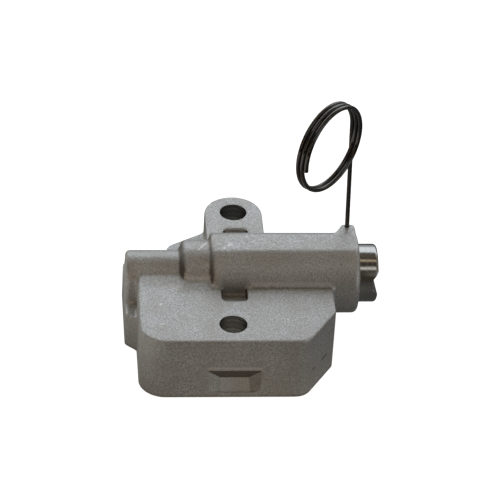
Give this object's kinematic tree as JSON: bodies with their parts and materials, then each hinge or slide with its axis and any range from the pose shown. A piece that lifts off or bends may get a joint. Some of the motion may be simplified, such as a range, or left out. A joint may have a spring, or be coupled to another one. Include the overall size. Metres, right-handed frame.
{
  "type": "timing chain tensioner",
  "caption": "Hydraulic timing chain tensioner: cast aluminium body with a bolt-down block and rear lug, a sprung oil-fed plunger, and a coiled wire lock pin that holds the plunger in.",
  "frame": {"origin": "on the mounting face, at the axis of the front bolt hole", "axes": "+Z out of the mounting face along the bolts, +X along the plunger towards its free end, +Y from the front bolt hole to the rear lug"},
  "size_m": [0.0623, 0.0599, 0.065],
  "materials": {
    "cast_aluminium": "blasted die casting",
    "turned_steel": "fine turned and polished",
    "spring_steel": "oil tempered wire",
    "hardened_steel": "ground",
    "pressed_steel": "plain sheet",
    "black_wire": "black oil tempered wire"
  },
  "bodies": {
    "housing": {"housing": "cast_aluminium", "plunger_spring": "spring_steel", "valve_seat": "hardened_steel", "ball_cage": "pressed_steel", "ball_spring": "spring_steel"},
    "plunger": {"plunger": "turned_steel"},
    "check_ball": {"check_ball": "hardened_steel"},
    "lock_pin": {"lock_pin": "black_wire"}
  },
  "joints": [
    {"name": "plunger_slide", "type": "slide", "parent": "housing", "child": "plunger", "axis": [1, 0, 0], "range_m": [0, 0.015], "deforming": ["plunger_spring"]},
    {"name": "check_ball_lift", "type": "slide", "parent": "housing", "child": "check_ball", "axis": [1, 0, 0], "range_m": [0, 0.0006], "stiffness_N_per_m": 60, "springref_m": -0.0005, "deforming": ["ball_spring"]},
    {"name": "lock_pin_pull", "type": "slide", "parent": "housing", "child": "lock_pin", "axis": [0, 0, 1], "range_m": [0, 0.012]}
  ]
}
